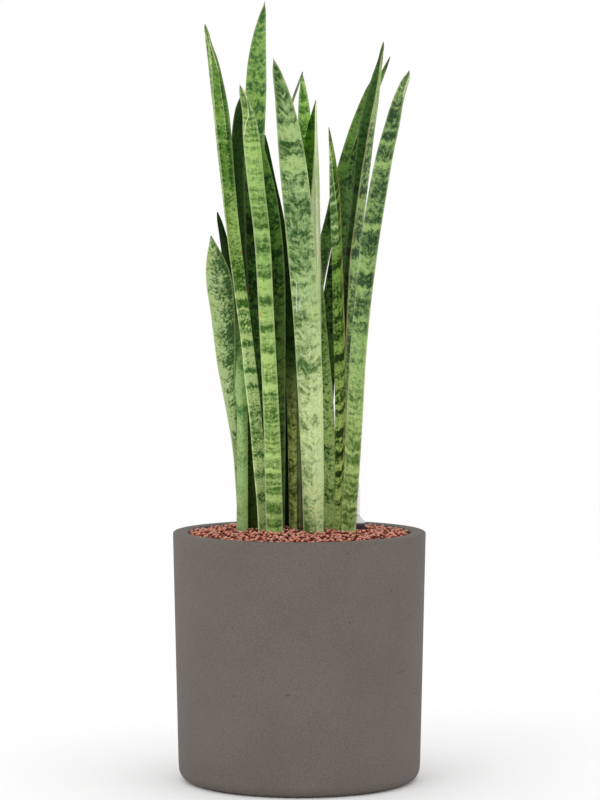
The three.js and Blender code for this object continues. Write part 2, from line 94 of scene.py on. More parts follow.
class Look:
    """One procedural material. Most methods add a node and return its output socket. A value is a socket, a
    number, a linear colour of four parts or a screen colour of three, 0 to 255."""

    def __init__(self, name, roughness=0.5, specular=0.5):
        self.material = bpy.data.materials.new(name)
        self.material.use_nodes = True
        self.tree = self.material.node_tree
        self.shader = self.tree.nodes["Principled BSDF"]
        self.shader.inputs["Roughness"].default_value = roughness
        self.shader.inputs["Specular IOR Level"].default_value = specular

    def put(self, socket, value):
        if isinstance(value, bpy.types.NodeSocket):
            self.tree.links.new(value, socket)
        elif isinstance(value, tuple) and len(value) == 3:
            socket.default_value = srgb(*value)
        else:
            socket.default_value = value

    def node(self, kind, inputs=(), **settings):
        """A node with its settings made and its inputs put, in order or by the keys of a dict."""
        node = self.tree.nodes.new(kind)
        for key, value in settings.items():
            setattr(node, key, value)
        for key, value in inputs.items() if isinstance(inputs, dict) else enumerate(inputs):
            self.put(node.inputs[key], value)
        return node

    def math(self, operation, *values):
        return self.node("ShaderNodeMath", values, operation=operation).outputs[0]

    plus = partialmethod(math, "ADD")
    minus = partialmethod(math, "SUBTRACT")
    times = partialmethod(math, "MULTIPLY")
    over = partialmethod(math, "DIVIDE")
    add = partialmethod(math, "MULTIPLY_ADD")    # of a value, its weight and what it is added to

    def split(self, vector):
        return self.node("ShaderNodeSeparateXYZ", [vector]).outputs[:]

    def attribute(self, name, output="Vector"):
        return self.node("ShaderNodeAttribute", attribute_name=name).outputs[output]

    def in_metres(self):
        return self.node("ShaderNodeTexCoord").outputs["Object"]

    def noise(self, vector, scale=1.0, detail=2.0, roughness=0.5):
        inputs = {"Vector": vector, "Scale": scale, "Detail": detail, "Roughness": roughness}
        return self.node("ShaderNodeTexNoise", inputs).outputs[0]

    def span(self, value, low, high, to_low=0.0, to_high=1.0, smooth=False):
        """The value's way from low to high, as one from to_low to to_high, with both ends held."""
        kind = "SMOOTHSTEP" if smooth else "LINEAR"
        inputs = (value, low, high, to_low, to_high)
        return self.node("ShaderNodeMapRange", inputs, interpolation_type=kind).outputs[0]

    def mix(self, share, first, second, blend="MIX"):
        inputs = {0: share, 6: first, 7: second}
        return self.node("ShaderNodeMix", inputs, data_type="RGBA", blend_type=blend).outputs[2]

    def cover(self, base, colour, value, low, high, strength, smooth=False):
        """The base under a colour, with none of it where the value is low and this much where it is high."""
        return self.mix(self.span(value, low, high, 0, strength, smooth), base, colour)

    def tinted(self, colour, red, green, blue):
        """The colour with its parts multiplied."""
        return self.mix(1.0, colour, (red, green, blue, 1), blend="MULTIPLY")

    def ramp(self, value, stops):
        """Colours along a value: each stop is a place 0 to 1 and a colour."""
        node = self.node("ShaderNodeValToRGB")
        elements = node.color_ramp.elements
        while len(elements) > 1:
            elements.remove(elements[0])
        for k, (place, colour) in enumerate(stops):
            element = elements[0] if k == 0 else elements.new(place)
            element.position = place
            element.color = srgb(*colour)
        self.put(node.inputs[0], value)
        return node.outputs[0]

    def colour(self, socket):
        self.put(self.shader.inputs["Base Color"], socket)

    def roughness(self, socket):
        self.put(self.shader.inputs["Roughness"], socket)

    def bump(self, height, distance_mm, strength):
        inputs = {"Strength": strength, "Distance": distance_mm * MM, "Height": height}
        self.put(self.shader.inputs["Normal"], self.node("ShaderNodeBump", inputs).outputs[0])


# ---- meshes
def make_piece(name, points_mm, faces, material, node, slot, body="pot", **attributes):
    """A smooth mesh piece from points in millimetres and arrays of faces, in place of a CAD node and riding on
    a body. The attributes have a value for each point."""
    mesh = bpy.data.meshes.new(name)
    points = np.asarray(points_mm, float)
    faces = [face for group in faces for face in np.asarray(group).tolist()]
    mesh.from_pydata((points * MM).tolist(), [], faces)
    mesh.validate()
    mesh.shade_smooth()
    for key, values in {"rest": points, **attributes}.items():
        values = np.asarray(values, float)
        kind, field = ("FLOAT_VECTOR", "vector") if values.ndim == 2 else ("FLOAT", "value")
        mesh.attributes.new(key, kind, "POINT").data.foreach_set(field, values.ravel())
    mesh.materials.append(material)
    piece = bpy.data.objects.new(name, mesh)
    scene.collection.objects.link(piece)
    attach(piece, body)
    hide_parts(node)


def tube_faces(size, rings):
    """The faces of a closed tube: rings of points, then one point for the fan at each end."""
    spoke = np.arange(size)
    turn = (spoke + 1) % size
    last = (rings - 1) * size
    middle = np.full(size, rings * size)
    wall = np.concatenate([
        np.stack([spoke, turn, turn + size, spoke + size], axis=1) + row * size for row in range(rings - 1)])
    return [wall, np.stack([turn, spoke, middle], axis=1), np.stack([spoke + last, turn + last, middle + 1], axis=1)]


def lathe(profile, segments, change=None):
    """(radius, height) points turned round the Z axis, closed by a fan at each end, where the profile meets
    the axis. change(angles, radius, height) gives the radius and height of each point between them."""
    profile = np.asarray(profile, float)
    angles = np.arange(segments) * 2 * math.pi / segments
    radius = np.repeat(profile[1:-1, :1], segments, axis=1)
    height = np.repeat(profile[1:-1, 1:], segments, axis=1)
    if change is not None:
        radius, height = change(angles[None, :], radius, height)
    rings = np.stack([radius * np.cos(angles), radius * np.sin(angles), height], axis=-1).reshape(-1, 3)
    points = np.concatenate([rings, [(0, 0, profile[0, 1]), (0, 0, profile[-1, 1])]])
    return points, tube_faces(segments, len(profile) - 2)


def arc(centre_radius, centre_height, radius, start, stop, steps):
    """Points (radius, height) on an arc, angles in degrees from outwards (0) to up (90)."""
    return [(centre_radius + radius * math.cos(angle), centre_height + radius * math.sin(angle))
            for angle in (math.radians(start + (stop - start) * k / steps) for k in range(steps + 1))]


# ---- leaves
MARGIN = 1.2             # thickness of a leaf's margin, in millimetres as all lengths from here on
RINGS_PER_STEP = 8       # rings between two of the solid's
SPANS_ACROSS = 16
MARGIN_STEPS = 4
LEAST_HALF_WIDTH = 0.45
CHANNEL_POWER = 1.5      # how the channel's depth grows from the middle to the margins
RIPPLE = 0.25            # how far the margins wave
RIPPLE_LENGTHS = (31, 13)
BANDS_FROM = 290
BAND_STEP = 2.4          # height between two points of the curve of bands
BAND_EDGE = 2.4          # height of a band's crisp upper edge
OPEN_TURN = 0.7          # how far a leaf opens above its open_above, in radians, and how much wider it is
OPEN_WIDER = 1.15


def leaf_rings(node):
    """The level rings of a CAD leaf, from foot to tip. Each row is the ring's middle x and y, its height,
    the angle of its width, its half width, the depth of its channel and its thickness."""
    points = np.empty(3 * len(node.data.vertices), np.float32)
    node.data.vertices.foreach_get("co", points)
    points = np.unique(np.round(points.reshape(-1, 3).astype(float) / MM, 3), axis=0)
    rows = []
    for height in np.unique(points[:, 2].round(2)):
        ring = points[np.abs(points[:, 2] - height) < 0.02][:, :2]
        gaps = np.linalg.norm(ring[:, None] - ring[None], axis=2)
        pairs = [(i, j) for i in range(len(ring)) for j in range(i) if abs(gaps[i, j] - MARGIN) < 0.03]
        middles = {pair: ring[list(pair)].mean(axis=0) for pair in pairs}
        _, one, other = max(
            (np.linalg.norm(middles[p] - middles[q]), p, q)
            for p in pairs for q in pairs if not set(p) & set(q))
        across = middles[other] - middles[one]
        half = np.linalg.norm(across) / 2
        across /= 2 * half
        centre = (middles[one] + middles[other]) / 2
        along = (ring - centre) @ across
        spine = ring[np.argsort(np.abs(along))[:2]]
        normal = np.array([across[1], -across[0]])
        depth = float((centre - spine.mean(axis=0)) @ normal)
        if depth < 0:
            across, normal, depth = -across, -normal, -depth
        middle = centre - normal * depth / 2
        rows.append([*middle, height, math.atan2(across[1], across[0]), half, depth,
                     np.linalg.norm(spine[0] - spine[1])])
    rows = np.array(rows)
    rows[:, 3] = np.unwrap(rows[:, 3])
    return rows


def spline(rows, at):
    """A smooth curve through the rows, read at fractional row numbers."""
    last = len(rows) - 1
    i = np.clip(np.floor(at).astype(int), 0, last - 1)
    t = (at - i)[:, None]
    p0, p1, p2, p3 = rows[np.maximum(i - 1, 0)], rows[i], rows[i + 1], rows[np.minimum(i + 2, last)]
    return 0.5 * (2 * p1 + (p2 - p0) * t + (2 * p0 - 5 * p1 + 4 * p2 - p3) * t ** 2
                  + (3 * p1 - p0 - 3 * p2 + p3) * t ** 3)


def leaf_mesh(rows, rng):
    """The leaf's closed surface, with the attributes place (way across, height, 1 on the channel's face) and
    edge (share of the half width, distance from the margin, distance below the tip) of each point."""
    at = np.linspace(0, len(rows) - 1, RINGS_PER_STEP * (len(rows) - 1) + 1)
    fine = spline(rows, at)
    fine[:, 4] = np.maximum(fine[:, 4], LEAST_HALF_WIDTH)
    tip_height = fine[-1, 2]
    long_phase, short_phase = rng.uniform(0, 6, 2)
    long_ripple, short_ripple = RIPPLE_LENGTHS
    points, place, edge = [], [], []
    for x, y, height, angle, half, depth, thick in fine:
        round_off = min(MARGIN / 2, half * 0.6)
        reach = 1 - round_off / half
        share = np.sin(np.linspace(-1, 1, SPANS_ACROSS + 1) * math.pi / 2) * reach
        face = np.minimum(thick, MARGIN + (thick - MARGIN) * (1 - share ** 2)) / 2
        face = np.minimum(face, half)
        bend = depth * (np.abs(share) ** CHANNEL_POWER - 0.5)
        ripple = RIPPLE * (math.sin(height / long_ripple + long_phase)
                           + 0.6 * math.sin(height / short_ripple + short_phase))
        bend = bend + ripple * np.abs(share) ** 3 * np.where(share > 0, 1, -0.7)
        turns = np.linspace(90, -90, MARGIN_STEPS + 1)[1:-1] * math.pi / 180
        tip_bend, tip_face = bend[-1], face[-1]
        right = [(reach + round_off / half * math.cos(t), tip_bend + tip_face * math.sin(t)) for t in turns]
        left = [(-reach - round_off / half * math.cos(t), bend[0] - face[0] * math.sin(t)) for t in turns]
        outline = ([(s, b + f) for s, b, f in zip(share, bend, face)] + right
                   + [(s, b - f) for s, b, f in zip(share[::-1], bend[::-1], face[::-1])] + left)
        sides = [1.0] * len(share) + [0.5] * len(right) + [0.0] * len(share) + [0.5] * len(left)
        cos, sin = math.cos(angle), math.sin(angle)
        for (s, offset), side in zip(outline, sides):
            points.append((x + cos * s * half + sin * offset, y + sin * s * half - cos * offset, height))
            arc_length = half * s * (1 + 0.35 * (depth / max(half, 1)) ** 2)
            place.append((arc_length, height, side))
            edge.append((s, half * (1 - abs(s)), tip_height - height))
    size = len(outline)
    for row in (0, len(fine) - 1):
        points.append(tuple(np.mean(points[row * size:(row + 1) * size], axis=0)))
        for values in (place, edge):
            values.append(values[row * size + SPANS_ACROSS // 2])
    return points, tube_faces(size, len(fine)), place, edge


def band_curve(look, height, bands, high):
    """How dark the bands make each height, around 0. A band is (top, height, strength in hundredths):
    crisp above, fading below, and a light one where the strength is below 0."""
    low = BANDS_FROM
    node = look.node("ShaderNodeFloatCurve", {"Value": look.span(height, low, high), "Factor": 1.0})
    curve = node.mapping.curves[0]
    count = int((high - low) / BAND_STEP)
    levels = []
    for k in range(count + 1):
        at = low + (high - low) * k / count
        level = 0.0
        for top, tall, strength in bands:
            rise = min(1, max(0, (top + 1.0 - at) / BAND_EDGE))
            tail = 0.3 * tall + 1.6
            fall = min(1, max(0, (at - (top - tall) + tail * 0.6) / tail))
            level += strength / 100 * rise * fall
        levels.append(min(1, max(0, 0.5 + 0.5 * level)))
    curve.points[0].location = (0, levels[0])
    curve.points[1].location = (1, levels[-1])
    for k in range(1, count):
        if levels[k] != levels[k - 1] or levels[k] != levels[k + 1]:
            curve.points.new(k / count, levels[k])
    for point in curve.points:
        point.handle_type = "VECTOR"
    node.mapping.update()
    return look.add(node.outputs[0], 2.0, -1.0)


STREAKS = 0.5            # how strong the streaks along a leaf and its slow change of shade are
SLOW_CHANGE = 0.8
# painted sheen: the paler strip along a leaf's margin stands for its sheen and the light through its thin edge
MARGIN_SHEEN_WIDTH = 3.0         # of the paler strip along the margin
DEEPEST = (0.006, 0.02, 0.006, 1)
FIBRE = (60, 90, 36)


def leaf_look(
        name, seed, light, dark, low_light, low_dark,
        # the colours turn from the low to the upper ones between two heights
        turn_low=330, turn_high=620,
        # the channel's colours, painted lighter or darker than the back's as its light and shade,
        # from a height up, beside a slanting border or between two shares
        inner_light=None, inner_dark=None, inner_from=280, inner_edge=None, inner_share=None,
        # gloss, dried tip, thin rim with rusty stretches, and the paler strip inside it: painted sheen and light
        # through the thin edge
        specular=0.12, tip=(92, 98, 78), rim=(190, 200, 142), rim_dark=(148, 104, 66), rim_width=0.55,
        rim_strength=0.5, rust=0.3, margin_sheen=0.35, margin_sheen_colour=(176, 196, 138),
        # pattern: darkness, softness, mottles, flecks, grains, cross bands and the distance between these
        base=0.42, soft=0.4, mottle=0.55, flecks=1.4, fleck_wide=5, fleck_tall=3.6, grains=0.6, auto=1.2, every=13,
        # wave, slant and bow of its lines, bow of the flecks, and the share where both fold
        zig=4, zig_across=6, slant=0, bow=3, chevron=3, centre=0,
        # one side painted darker below a height, as its shade, or painted darker and greener as its shade;
        # (low, high, change at low, change at high) of the darkness; and (low, high, change) for both sides
        side_shade=None, side_shade_top=1200, side_shade_green=None, fade=None, flank=None,
        # fine cross lines (low, high, period, strength); marks (top, way across there, foot, way across there, half
        # width, colour, strength); bands (see band_curve), the height that they reach and their strength
        lines=(), marks=(), bands=(), reach=None, depth=0.36):
    """A leaf's skin. Its pattern is a density around 0.5, which turns the light tissue dark."""
    look = Look(name, roughness=0.45, specular=specular)
    mix, span, cover, tinted = look.mix, look.span, look.cover, look.tinted
    plus, minus, times, add = look.plus, look.minus, look.times, look.add
    across, height, side = look.split(look.attribute("place"))
    share, margin, from_tip = look.split(look.attribute("edge"))
    spread = look.math("ABSOLUTE", minus(share, centre))

    def cloud(wide, tall, along, shift, detail=1):
        """Noise around 0, its spots some millimetres wide and tall."""
        place = look.node("ShaderNodeCombineXYZ", (look.over(across, wide), look.over(along, tall), seed + shift))
        return minus(look.noise(place.outputs[0], detail=detail), 0.5)

    wave = cloud(zig_across, 34, height, 0, 2)
    slanted = add(across, slant, height)

    def bent(arch, zigzag):
        """The height, moved by the wave of the pattern's lines and by their bow across the leaf."""
        return add(wave, 4.5 * zigzag, plus(slanted, add(spread, -arch, arch / 2)))

    moved = bent(bow, zig)
    fleck_height = bent(chevron, zig * 0.5)

    density = base
    for part, weight in (
            (cloud(fleck_wide, fleck_tall, fleck_height, 2.7, 2), flecks),
            (cloud(2.2, 2, height, 6.2), grains),
            (cloud(2.4, 16, moved, 7.7), STREAKS),
            (cloud(90, every, moved, 9.1), auto),
            (cloud(60, 90, height, 4.4), SLOW_CHANGE)):
        density = add(part, weight, density)
    # painted shade: one side darker below a height
    if side_shade:
        density = plus(density, times(share, span(height, side_shade_top, side_shade_top - 120, 0, side_shade, smooth=True)))
    if bands:
        density = add(band_curve(look, moved, bands, reach), depth, density)
    for low, high, period, weight in lines:
        turn = add(cloud(30, 18, height, 12.4), 9, times(moved, 2 * math.pi / period))
        window = times(span(height, low - 6, low + 6), span(height, high + 6, high - 6))
        density = add(times(look.math("SINE", turn), window), weight, density)
    if fade:
        density = plus(density, span(height, *fade, smooth=True))
    if flank:
        low, high, weight = flank
        sides = times(span(spread, 0.15, 0.6, smooth=True), span(height, low, high))
        density = add(sides, weight, density)
    mask = span(density, 0.5 - soft, 0.5 + soft, smooth=True)

    rise = span(height, turn_low, turn_high, smooth=True)
    light = mix(rise, low_light, light)
    dark = mix(rise, low_dark, dark)
    # painted light and shade: the channel's face in its own lit or shaded colours
    if inner_light:
        inner = times(side, span(height, inner_from - 20, inner_from + 10, smooth=True))
        if inner_edge:
            inner = times(inner, span(minus(share, span(height, *inner_edge)), 0.05, -0.05))
        if inner_share:
            inner = times(inner, span(share, *inner_share, smooth=True))
        light = mix(inner, light, inner_light)
        dark = mix(inner, dark, inner_dark)
    tissue = mix(mask, light, tinted(dark, 0.94, 1, 0.8))
    tissue = cover(tissue, DEEPEST, density, 0.85, 1.3, 0.3)
    # painted shade: one side darker and greener
    if side_shade_green:
        tissue = cover(tissue, tinted(tissue, 0.5, 0.6, 0.34), share, 0, 0.9, side_shade_green, smooth=True)
    tint = cloud(12, 34, height, 8.8, 2)
    tissue = cover(tissue, tinted(tissue, 1.1, 1.04, 0.68), tint, -0.1, 0.2, 0.3, smooth=True)
    spots = plus(cloud(4.2, 3, fleck_height, 11.3, 2), cloud(1.6, 1.4, height, 13.7))
    tissue = cover(tissue, tinted(tissue, 0.6, 0.68, 0.54), spots, -0.22, 0.22, mottle)
    fibre = cloud(0.5, 60, height, 1.3, 2)
    tissue = cover(tissue, FIBRE, fibre, -0.15, 0.15, 0.12)

    # painted sheen: the paler strip inside the margin
    tissue = cover(tissue, margin_sheen_colour, margin, MARGIN_SHEEN_WIDTH, 0.3, margin_sheen, smooth=True)
    rusty = span(cloud(30, 12, height, 5.5, 2), -0.06, 0.1, 0, rust, smooth=True)
    tissue = cover(tissue, mix(rusty, rim, rim_dark), margin, rim_width, rim_width * 0.4, rim_strength, smooth=True)

    for top, top_across, foot, foot_across, wide, colour, strength in marks:
        off = look.math("ABSOLUTE", minus(across, span(height, foot, top, foot_across, top_across)))
        along = times(span(height, top + 0.8, top - 0.4), span(height, foot - 0.8, foot + 0.4))
        tissue = mix(times(along, span(off, wide, wide * 0.4, 0, strength, smooth=True)), tissue, colour)

    look.colour(cover(tissue, tip, from_tip, 6, 2, 0.8, smooth=True))
    look.bump(add(fibre, 0.7, mask), 0.18, 0.35)
    return look.material


LEAF_ROWS = []


def leaf(name, *colours, widen=0.3, nudge=((0, 0),), open_above=1000, **style):
    """Rebuilds a CAD leaf in its light, dark, low light and low dark colours. Its half width grows by widen. A row
    of nudge is a height and how far sideways, wider, deeper and turned (radians) the leaf is there, with 0 for what
    is left out. It opens above a height."""
    rows = leaf_rings(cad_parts[name])
    rows[:-1, 4] += widen
    nudge = np.array([row + (0,) * (5 - len(row)) for row in nudge], float)
    for column, change in ((0, 1), (4, 2), (5, 3), (3, 4)):
        rows[:, column] += np.interp(rows[:, 2], nudge[:, 0], nudge[:, change])
    opened = rows[:, 2] > open_above
    rows[opened, 3] -= OPEN_TURN
    rows[opened, 4] = np.maximum(rows[opened, 4], 0) * OPEN_WIDER
    number = len(LEAF_ROWS)
    LEAF_ROWS.append(rows)
    points, faces, place, edge = leaf_mesh(rows, np.random.default_rng(100 + number))
    skin = leaf_look(name + "_skin", 3.1 * number, *colours, **style)
    make_piece(name + "_look", points, faces, skin, name, "leaf", place=place, edge=edge)


leaf("leaf_left_tall", (176, 208, 116), (44, 96, 18), (230, 255, 176), (68, 124, 46),
    nudge=((262, 2, 0, -3.5, -0.32), (318, 1, 0, -4.2, -0.26), (373, -0.85, 0, -4.8, -0.46),
    (427, -1.75, 0, -5.6, -0.41), (478, -1.65, 0, -6.3, -0.35), (528, -0.5, 0, -6.5, -0.31),
    (576, -0.8, 0, -6.2, -0.36), (623, -1.15, 0, -4.5, -0.39), (667, -1.5, 0, -1.5, -0.4),
    (709, -1.9, 0.7, 0.4, -0.36), (749, -3.2, 1.8, 1.2, -0.4), (786, -3.2, 1.9, 1.2, -0.41),
    (820, -1.8, 2.4, 1.9, -0.26), (849, 0.1, 1.8, 1.6, -0.16), (874, 0.3, 0.3, 0.2, -0.12), (890, 0.3)),
    turn_low=540, inner_light=(96, 142, 50), inner_dark=(32, 76, 14), inner_from=700, inner_share=(0.6, 0.68),
    rim_strength=0.2, rust=0.7, margin_sheen=0.3, margin_sheen_colour=(190, 212, 154), flecks=1.5, fleck_wide=4, fleck_tall=2.6,
    grains=0.8, auto=0.5, every=6, zig=1.5, bow=-2, fade=(330, 560, -0.12, 0), lines=((742, 800, 6.2, 0.12),),
    marks=((848, 5.6, 700, 5, 4.6, (108, 158, 62), 0.55), (876, 3, 838, 10, 0.8, (214, 214, 176), 0.75),
    (838, 10.2, 760, 9.9, 0.7, (196, 208, 156), 0.5), (628, 11, 624, 11, 1, (196, 70, 50), 0.8),
    (586, 11.2, 582, 11.2, 1, (196, 70, 50), 0.8)),
    depth=0.5, reach=890,
    bands=((886, 24, 36), (857, 2, 63), (852, 2, 54), (846, 3, 54), (839, 3, 63), (834, 3, 63), (825, 27, 23),
    (797, 2, -54), (790, 2, -54), (785, 3, -45), (780, 3, -72), (775, 2, -45), (770, 12, 27), (757, 3, -54),
    (753, 9, 32), (738, 2, 36), (733, 3, 36), (727, 2, -36), (722, 8, 27), (710, 4, 36), (700, 4, -36), (690, 10, 27),
    (676, 4, 27), (666, 11, 27), (650, 5, -27), (637, 4, 36), (626, 4, 36), (616, 8, 36), (604, 14, 45), (586, 6, 54),
    (579, 7, -63), (570, 9, 90), (559, 3, -36), (555, 4, 54), (549, 2, -36), (546, 7, 63), (535, 3, 45),
    (530, 8, -54), (521, 5, 90), (514, 7, -63), (506, 1, 36), (503, 6, -54), (496, 1, 36), (493, 3, -54),
    (489, 5, 108), (482, 10, -63), (471, 5, 72), (464, 16, -36), (446, 4, 36), (437, 4, 63), (428, 2, 36),
    (420, 2, 36), (414, 2, 45), (406, 2, 27), (401, 9, -27), (390, 5, 72), (384, 13, -54), (370, 1, 27), (366, 6, 81),
    (358, 14, -45), (341, 11, 54), (328, 20, -27), (305, 5, 45)))
leaf("leaf_back_tallest", (150, 188, 102), (56, 102, 54), (90, 136, 60), (22, 50, 12),
    turn_low=700, turn_high=760, base=0.47, soft=0.44, flecks=1.8, fleck_tall=4.2, auto=0.7, every=9, depth=0.38,
    reach=925,
    bands=((926, 20, 90), (904, 12, 25), (880, 6, -30), (870, 6, -20), (862, 11, 50), (850, 4, -50), (845, 7, 50),
    (836, 5, -50), (830, 12, 85), (816, 10, -50), (803, 8, 60), (794, 8, -50), (785, 15, 80), (766, 10, -30),
    (750, 12, 60), (712, 16, 40), (690, 16, -30), (668, 23, 90), (636, 14, 50), (600, 40, 40)))
leaf("leaf_front_left", (170, 204, 120), (58, 96, 34), (186, 214, 130), (68, 104, 34),
    nudge=((786, 0), (807, 0.4, 0.5), (820, 1.4, 1.6)),
    turn_low=460, turn_high=600, margin_sheen=0.5, base=0.45, soft=0.42, flecks=0.9, fleck_wide=6, fleck_tall=3, grains=0.5,
    auto=0.5, every=6.5, zig=1.6, bow=1, lines=((338, 470, 5.8, 0.08), (735, 790, 6.6, 0.14)),
    marks=((816, -1.4, 805, -3, 0.9, (226, 206, 170), 0.85), (806, -3, 791, -0.6, 0.8, (204, 210, 162), 0.8),
    (791, -0.6, 782, 1.8, 0.8, (204, 210, 162), 0.8), (782, 1.8, 776, 5, 0.9, (204, 210, 162), 0.8),
    (776, 5, 762, 8.2, 0.9, (204, 210, 162), 0.8), (820, 0, 812, 1.6, 1.2, (36, 74, 34), 0.6),
    (803, -1.8, 768, -2, 1.6, (44, 84, 34), 0.45), (556, 7.2, 551, 7.2, 1, (206, 110, 70), 0.7)),
    depth=0.42, reach=820,
    bands=((820, 37, 38), (779, 2, 58), (774, 2, 58), (769, 2, 58), (765, 2, 58), (760, 6, 77), (748, 4, 38),
    (742, 5, -29), (735, 4, 38), (722, 6, 48), (713, 4, 38), (708, 6, -48), (700, 5, 58), (690, 6, 67), (679, 4, 48),
    (671, 4, 48), (660, 6, 58), (652, 8, -58), (642, 5, 38), (633, 8, 77), (622, 6, -38), (612, 4, 38), (602, 7, 58),
    (594, 18, -77), (573, 8, 70), (562, 18, -58), (540, 5, 77), (532, 13, -38), (516, 7, 50), (507, 10, -58),
    (495, 5, 29), (480, 7, 77), (471, 7, -86), (462, 4, 48), (456, 4, 38), (449, 3, 38), (442, 4, 48), (436, 3, 48),
    (430, 3, 48), (424, 3, 48), (418, 3, 48), (411, 3, 58), (405, 4, 67), (398, 2, 48), (394, 4, 67), (388, 3, -58),
    (383, 3, 67), (379, 1, -38), (377, 3, 77), (372, 5, -67), (366, 4, 86), (361, 1, -38), (358, 4, 58), (350, 7, 48),
    (341, 8, -67), (331, 11, 48), (318, 5, -38), (311, 2, 38), (306, 3, 96), (302, 5, -67)))
# painted shade: colours near black for the deep shade behind the front leaves, one side darker still below 460
leaf("leaf_left_rear", (40, 68, 26), (16, 36, 9), (66, 84, 30), (8, 14, 3),
    widen=1.6, specular=0.06, rim=(140, 110, 64), rim_width=0.7, margin_sheen=0.1, auto=0.6, side_shade=-0.35, side_shade_top=460)
leaf("leaf_left_slim", (34, 58, 20), (14, 34, 8), (166, 194, 128), (82, 122, 76),
    nudge=((430, 0), (452, -0.2, 0.4), (475, -0.5, 0.8), (500, -0.3, 0.4), (530, 0)),
    specular=0.06, turn_low=480, turn_high=600, tip=(40, 56, 26), rim_strength=0.1, margin_sheen=0, base=0.34, flecks=1.1,
    every=22, zig=3, chevron=7, reach=670,
    bands=((525, 35, 70), (482, 12, -30), (446, 12, 70), (396, 7, 50), (346, 11, 40)))
leaf("leaf_left_short", (186, 208, 148), (64, 96, 54), (190, 210, 154), (74, 102, 56),
    rust=0.6, base=0.455, soft=0.43, flecks=2.1, fleck_wide=4.2, fleck_tall=3, grains=0.9, auto=0.5, every=8, zig=3,
    bow=5, chevron=7, centre=-0.1, side_shade=0.38, side_shade_green=0.9,
    marks=((626, 1, 624, 1.5, 1.2, (214, 120, 60), 0.8),),
    reach=645,
    bands=((644, 9, 63), (620, 8, 27), (608, 5, 63), (598, 8, -18), (586, 8, 27), (570, 8, -18), (560, 10, 36),
    (537, 13, 63), (516, 8, -27), (505, 11, 63), (490, 7, -36), (480, 6, 36), (467, 4, 36), (460, 10, -54),
    (447, 3, 81), (443, 27, -54), (412, 12, 45), (396, 20, -27)))
leaf("leaf_middle_left", (98, 146, 56), (28, 60, 16), (84, 116, 48), (22, 46, 14),
    specular=0.1, turn_low=560, turn_high=700, tip=(70, 100, 44), rim_strength=0.3, rust=0.8, margin_sheen=0.2, base=0.5,
    flecks=1.8, auto=0.8, every=8, zig=2.5, side_shade=-0.15, reach=770,
    bands=((745, 23, -50), (716, 14, 30), (696, 6, -30), (668, 16, 30), (630, 12, 40), (600, 12, 40), (560, 12, -40),
    (516, 10, -40), (480, 7, 60), (452, 12, -30), (420, 10, 40)))
# painted shade: dark upper colours, and one side darker below 450, for the shade it stands in; the low light colour
# is its olive strip
leaf("leaf_middle_slim", (34, 66, 10), (10, 28, 2), (208, 220, 136), (78, 90, 36),
    specular=0.06, turn_low=380, turn_high=520, tip=(20, 34, 8), rim_strength=0.25, margin_sheen=0, auto=0.6, every=8, zig=2,
    side_shade=-0.25, side_shade_top=450, reach=765,
    bands=((346, 8, 80), (320, 8, 30), (372, 6, 30)))
# painted shade: a near-black leaf at the back, filling the dark gap between the middle leaves with shade colour
leaf("leaf_back_middle", (22, 36, 12), (9, 20, 4), (20, 28, 8), (8, 14, 3),
    specular=0.04, rim_strength=0.2, margin_sheen=0.05)
leaf("leaf_front_wide", (168, 194, 130), (46, 82, 38), (204, 220, 160), (84, 112, 58),
    turn_low=430, turn_high=640, rim=(204, 210, 156), margin_sheen=0.4, base=0.46, soft=0.44, flecks=1.6, fleck_wide=6.8,
    fleck_tall=4.8, grains=0.5, auto=0.3, every=10, zig=4.5, zig_across=7, bow=1, chevron=7, side_shade=0.3, side_shade_top=660,
    fade=(330, 640, -0.2, 0),
    # the first two marks, pale streaks at 590 and 572, are painted highlights
    marks=((590, 9, 556, 11.5, 1, (214, 222, 214), 0.5), (572, 6, 560, 7, 0.8, (214, 222, 214), 0.4),
    (327, 0, 324, 0.4, 1, (196, 92, 60), 0.8)),
    reach=852,
    bands=((855, 28, 120), (818, 58, 22), (818, 6, 60), (808, 4, 70), (802, 6, 40), (792, 5, 110), (785, 3, 30),
    (780, 4, 100), (774, 15, -60), (757, 19, 100), (736, 14, -60), (720, 20, 60), (690, 8, 25), (680, 8, 30),
    (664, 8, -20), (650, 10, 35), (624, 8, 30), (610, 10, 50), (598, 5, -50), (593, 8, 50), (582, 8, -40),
    (573, 9, 40), (555, 14, 60), (538, 32, -25), (502, 14, 70), (485, 20, -25), (460, 24, -60), (434, 12, 50),
    (418, 18, -40), (392, 8, -20), (376, 30, -50), (336, 10, 20), (320, 7, 30), (309, 9, 80)))
leaf("leaf_middle_folded", (250, 255, 216), (222, 240, 190), (252, 255, 220), (176, 208, 138),
    inner_light=(72, 122, 12), inner_dark=(14, 46, 0), inner_from=640, inner_edge=(678, 769, -0.55, -0.05),
    tip=(60, 92, 40), rim_strength=0.1, rust=0.6, margin_sheen=0, base=0.16, mottle=0.35, flecks=1.3, auto=0.6, every=8,
    flank=(400, 500, 0.2), reach=805,
    bands=((797, 9, 40), (777, 9, 100), (766, 16, -50), (746, 16, 50), (728, 28, 90), (699, 9, 80), (676, 16, 20),
    (650, 18, -50), (608, 12, -30), (582, 8, 50), (556, 8, 40)))
leaf("leaf_middle_right", (158, 202, 104), (66, 112, 42), (198, 226, 142), (46, 84, 40),
    turn_low=440, turn_high=560, flecks=1.7, fleck_tall=3.4, auto=0.5, every=8, side_shade=-0.1, depth=0.42, reach=840,
    bands=((840, 32, 70), (806, 4, -50), (799, 8, 50), (788, 4, -60), (780, 8, 30), (768, 10, 60), (700, 200, 60),
    (448, 8, 40), (432, 28, -20), (396, 16, 50), (366, 14, -30), (346, 12, 50), (330, 26, -40)))
leaf("leaf_middle_edge", (128, 158, 108), (46, 74, 44), (96, 108, 50), (44, 56, 20),
    specular=0.08, turn_low=500, turn_high=760, rim_strength=0.15, margin_sheen=0, auto=0.8, every=5, reach=835,
    bands=((350, 7, 90), (328, 6, -30), (311, 3, 70)))
